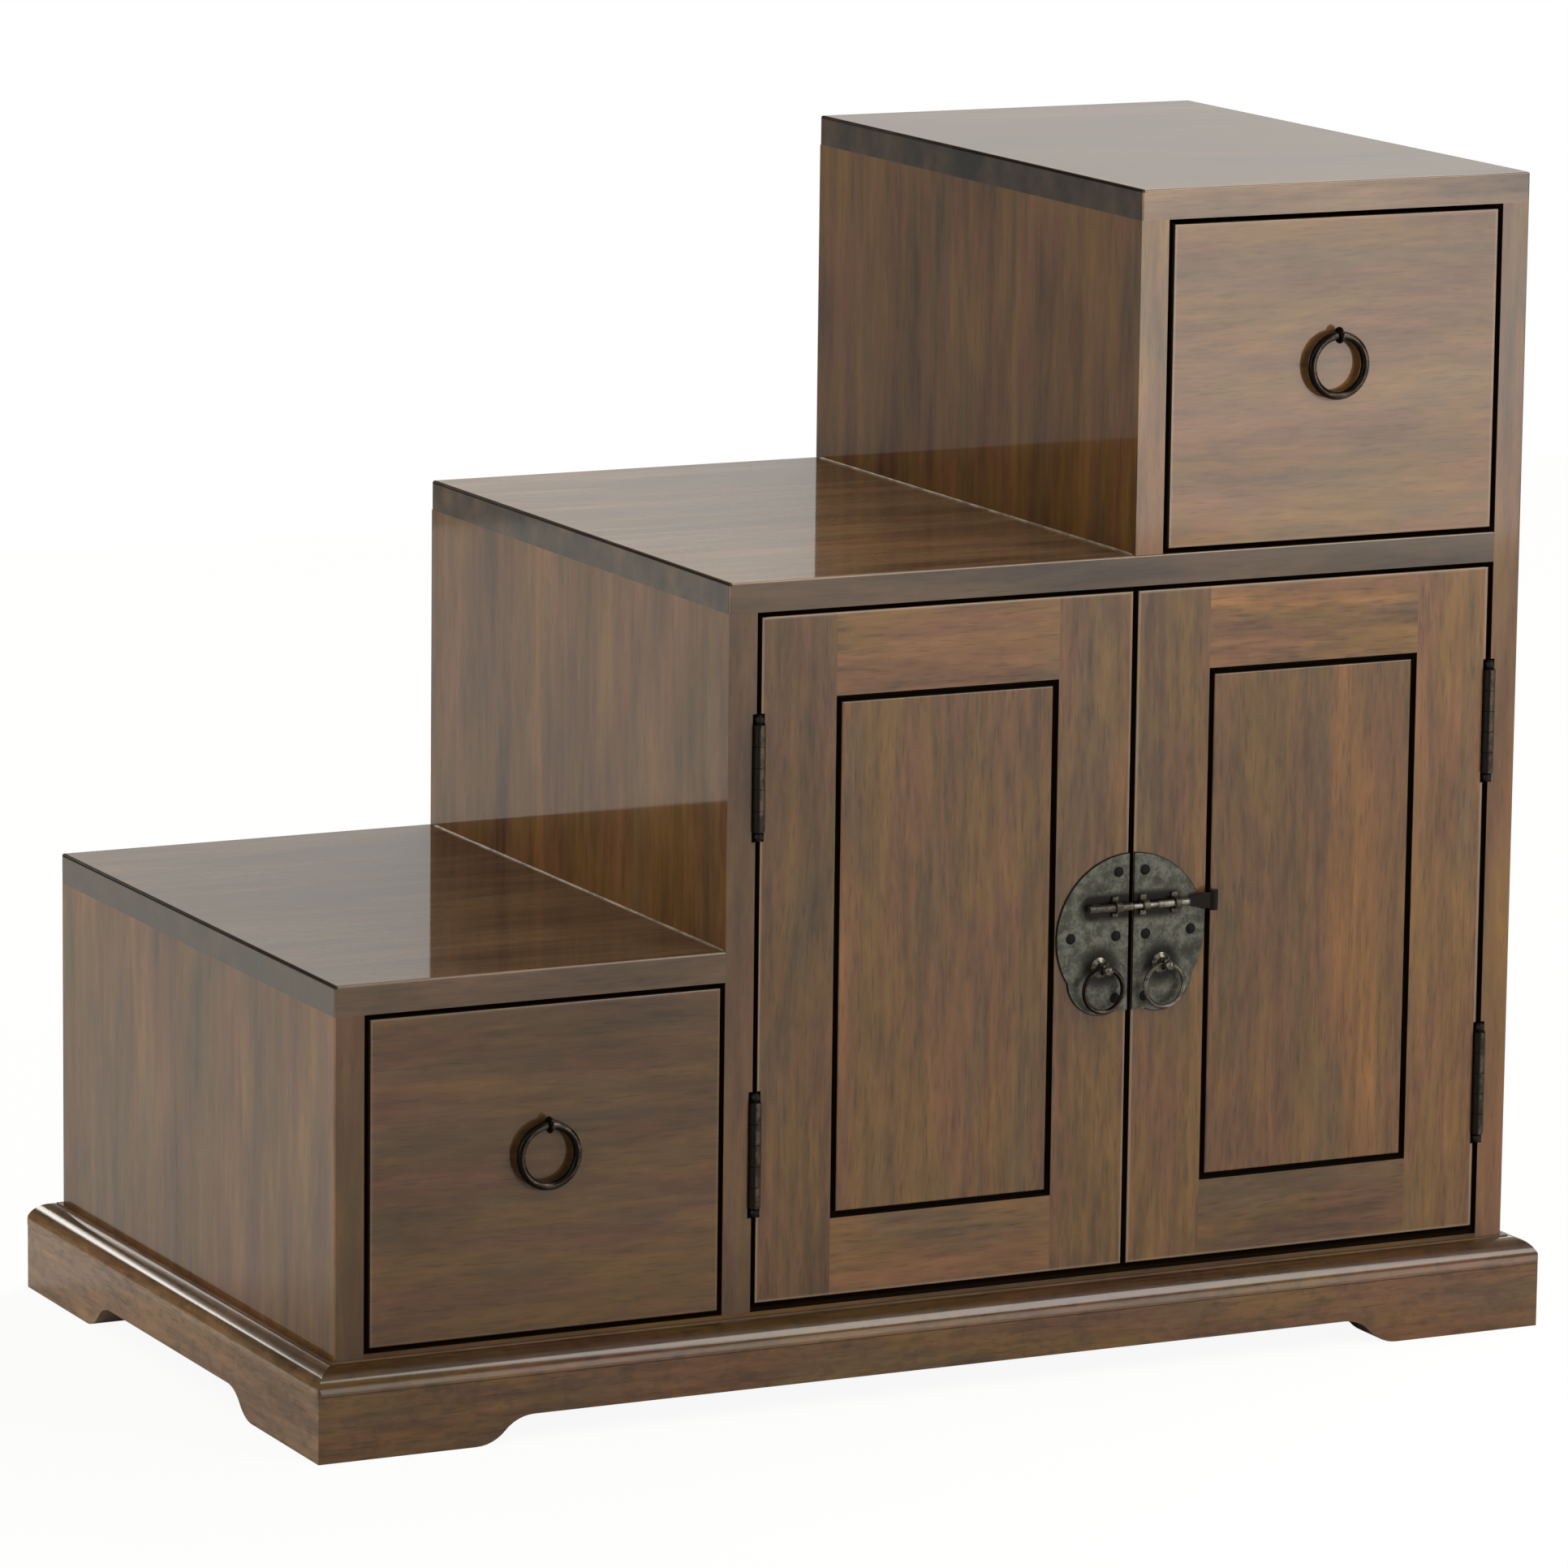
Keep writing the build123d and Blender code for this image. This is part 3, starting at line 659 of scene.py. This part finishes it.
plate_height = bolt_height - 0.0163  # the middle of the plate, which the bolt passes above
nail_places = ((8.0, 35.0), (9.0, 0.0), (36.5, 0.5), (9.0, -34.0))  # mm out and up from there
nail_radius, nail_rise = 0.0029, 0.0011
screw_places = ((9.5, 4.5), (28.5, 9.5), (47.5, 4.5))  # mm from a leaf's end and its back edge
screw_radius, screw_rise = 0.0022, 0.00008
bead_radius = 0.0009


def nails(metals):
    """Four round nails hold each half of the lock plate."""
    for hand, side in (("left", -1), ("right", 1)):
        centres = [
            (plate_middle + side * out / 1000, plate_low.y, plate_height + up / 1000)
            for out, up in nail_places
        ]
        domes(
            f"{hand}_plate_nails", centres, ((1, 0, 0), (0, 0, 1)), nail_radius, nail_rise,
            metals["nail"], f"{hand}_door",
        )


def screws(metals):
    """Three flush screw heads, the middle one set back, in each leaf of a hinge."""
    outward = {"frame": ((0, 1, 0), (0, 0, 1)), "door": ((0, 0, 1), (0, 1, 0))}
    for hand, side, pin in zip(("left", "right"), (1, -1), hinge_pins):
        for leaf, across in outward.items():
            low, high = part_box(f"{hand}_hinge_{leaf}_leaves")
            leaf_face = pin - (side if leaf == "frame" else -side) * 0.0001
            centres = [
                (leaf_face, high.y - back / 1000, end - inwards * along / 1000)
                for end, inwards in ((low.z, -1), (high.z, 1))
                for along, back in screw_places
            ]
            across = across if side == 1 else across[::-1]
            body = "carcase" if leaf == "frame" else f"{hand}_door"
            domes(
                f"{hand}_{leaf}_screws", centres, across, screw_radius, screw_rise,
                metals["dark"], body,
            )


def joint_bead(name, tread, riser, material):
    """A hollow bead of lacquer in the corner between a tread and the riser behind it. Its section
    is a quarter of a circle that bows into the corner, closed by the corner's own point, and its
    two ends run out to that point."""
    x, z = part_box(riser)[0].x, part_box(tread)[1].z
    steps = np.arange(60)
    y = np.linspace(front + 0.0012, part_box(tread)[1].y - 0.001, steps.size)
    size = bead_radius * np.clip(np.minimum(steps, steps[::-1]), 0, 1)
    turn = np.linspace(0, np.pi / 2, 9)
    across = np.append(np.sin(turn) - 1, 0.0)
    up = np.append(1 - np.cos(turn), 0.0)
    points = np.stack(
        [
            x + size[:, None] * across[None],
            np.repeat(y[:, None], across.size, 1),
            z + size[:, None] * up[None],
        ], -1,
    )
    surfaces(name, [points], (False, True), material, "carcase")


def beads():
    """The beads of lacquer behind the first and the second tread."""
    lacquer = Finish("joint_lacquer", Coat_Weight=1.0, Coat_Roughness=0.08, Roughness=0.4)
    x, y, z = lacquer.parts(lacquer.place)
    wear_and_highlight = lacquer.between(lacquer.noise((y * 90.0, x * 90.0, z * 90.0), 2.0), 0.35, 0.65)
    # The pale tones paint part of the bright highlight line along each joint, over what the bead's
    # glossy coat reflects.
    tone = lacquer.mixed(wear_and_highlight, shade(120, 100, 76), shade(176, 156, 128))
    lacquer.set("Base Color", tone)
    for name, tread, riser in (
        ("first_joint", "first_tread", "second_step_side"),
        ("second_joint", "second_tread", "third_step_side"),
    ):
        joint_bead(f"{name}_bead", tread, riser, lacquer.material)


# ---- studio ----

lamp_color = (1.02, 1.0, 0.95, 1.0)
white = (1.0, 1.0, 1.0, 1.0)


def look_through(location, azimuth, elevation, roll, lens):
    """The camera, aimed along an azimuth and an elevation and rolled about its own axis."""
    turn, rise, lean = (math.radians(angle) for angle in (azimuth, elevation, roll))
    back = Vector(
        (math.sin(turn) * math.cos(rise), -math.cos(turn) * math.cos(rise), math.sin(rise))
    )
    across = (-back).cross(Vector((0, 0, 1))).normalized()
    above = back.cross(across)
    right = across * math.cos(lean) + above * math.sin(lean)
    up = above * math.cos(lean) - across * math.sin(lean)
    turned = Matrix((right, up, back)).transposed().to_4x4()
    camera = bpy.data.objects.new("camera", bpy.data.cameras.new("camera"))
    camera.data.lens = lens
    camera.matrix_world = Matrix.Translation(location) @ turned
    bpy.context.scene.collection.objects.link(camera)
    bpy.context.scene.camera = camera


def surroundings():
    """A white room to the camera. The chest sees a pale wall low at its back right, and above eye
    height a bright window at the far back right and a soft one at the front left. The ceiling and
    the ground are brighter in front than behind."""
    world = bpy.data.worlds.new("studio")
    world.use_nodes = True
    bpy.context.scene.world = world
    room = Nodes(world.node_tree)
    across, deep, rise = room.parts(room.node("TexCoord", out="Generated"))
    right = room.between(across, -0.15, 0.15)
    far_right = room.between(across, 0.35, 0.6)
    back = room.between(deep, -0.15, 0.15)
    horizon = room.between(rise, -0.02, 0.0)
    sill = room.between(rise, 0.30, 0.40)
    ceiling = room.between(rise, 0.70, 0.80)
    wall = horizon * (1.0 - sill)
    window = sill * (1.0 - ceiling)
    glow = 0.58 * right * back * wall + 5.0 * far_right * back * window
    glow = glow + 1.4 * (1.0 - right) * (1.0 - back) * window + ceiling * (0.62 - 0.32 * back)
    glow = glow + (1.0 - horizon) * (1.1 - 0.82 * back)
    seen = room.node("LightPath", out="Is Camera Ray")
    light = room.mixed(seen, room.scaled(lamp_color, glow), white)
    plug(room.tree, world.node_tree.nodes["Background"].inputs["Color"], light)


def ground():
    """The pale floor. The camera sees it nearly white, with a faint shadow of the chest."""
    finish = Finish("floor", Roughness=1.0, Base_Color=(0.75, 0.74, 0.72, 1.0))
    glow = finish.node("Emission", sockets={"Strength": 1.05})
    seen = 0.88 * finish.node("LightPath", out="Is Camera Ray")
    lit = Field(finish.tree, finish.shader.outputs[0])
    mix = finish.node("MixShader", sockets={0: seen, 1: lit, 2: glow})
    finish.tree.links.new(mix.socket, finish.output.inputs[0])
    near, far, side = -3.2, 2.6, 3.2
    mesh = bpy.data.meshes.new("floor")
    mesh.from_pydata(
        [(-side, near, 0), (side, near, 0), (side, far, 0), (-side, far, 0)], [], [(0, 1, 2, 3)]
    )
    mesh.materials.append(finish.material)
    floor = bpy.data.objects.new("floor", mesh)
    bpy.context.scene.collection.objects.link(floor)


def area_light(name, location, aim, size, power):
    """A rectangular lamp that faces the point it is aimed at."""
    light = bpy.data.lights.new(name, "AREA")
    light.shape = "RECTANGLE"
    light.size, light.size_y = size
    light.energy = power
    light.color = lamp_color[:3]
    lamp = bpy.data.objects.new(name, light)
    lamp.location = location
    lamp.rotation_euler = (Vector(aim) - Vector(location)).to_track_quat("-Z", "Y").to_euler()
    bpy.context.scene.collection.objects.link(lamp)


def lights():
    """The main lamp high at the front right, two broad cards low in front of it, a strip behind
    the chest and a soft lamp at its left."""
    area_light("key", (1.45, -2.05, 1.98), (0.05, -0.2, 0.1), (1.1, 1.25), 26)
    area_light("card", (1.45, -2.75, 0.45), (0.2, -0.2, 0.45), (2.6, 0.9), 18)
    area_light("high_card", (1.45, -2.75, 0.65), (0.2, -0.2, 0.65), (2.6, 0.9), 7.5)
    area_light("strip", (-0.9, 3.0, 1.25), (-0.3, 0.0, 0.2), (0.8, 0.2), 4)
    area_light("side", (-3.0, -0.8, 1.0), (0.0, 0.0, 0.3), (1.6, 1.6), 20)


bpy.context.scene.view_settings.view_transform = "Standard"
look_through(
    location=(-2.04229, -4.13122, 1.16480), azimuth=-26.301, elevation=10.690, roll=0.692,
    lens=196.2,
)
wooden()
metals = metal()
rings(metals)
nails(metals)
screws(metals)
beads()
surroundings()
ground()
lights()
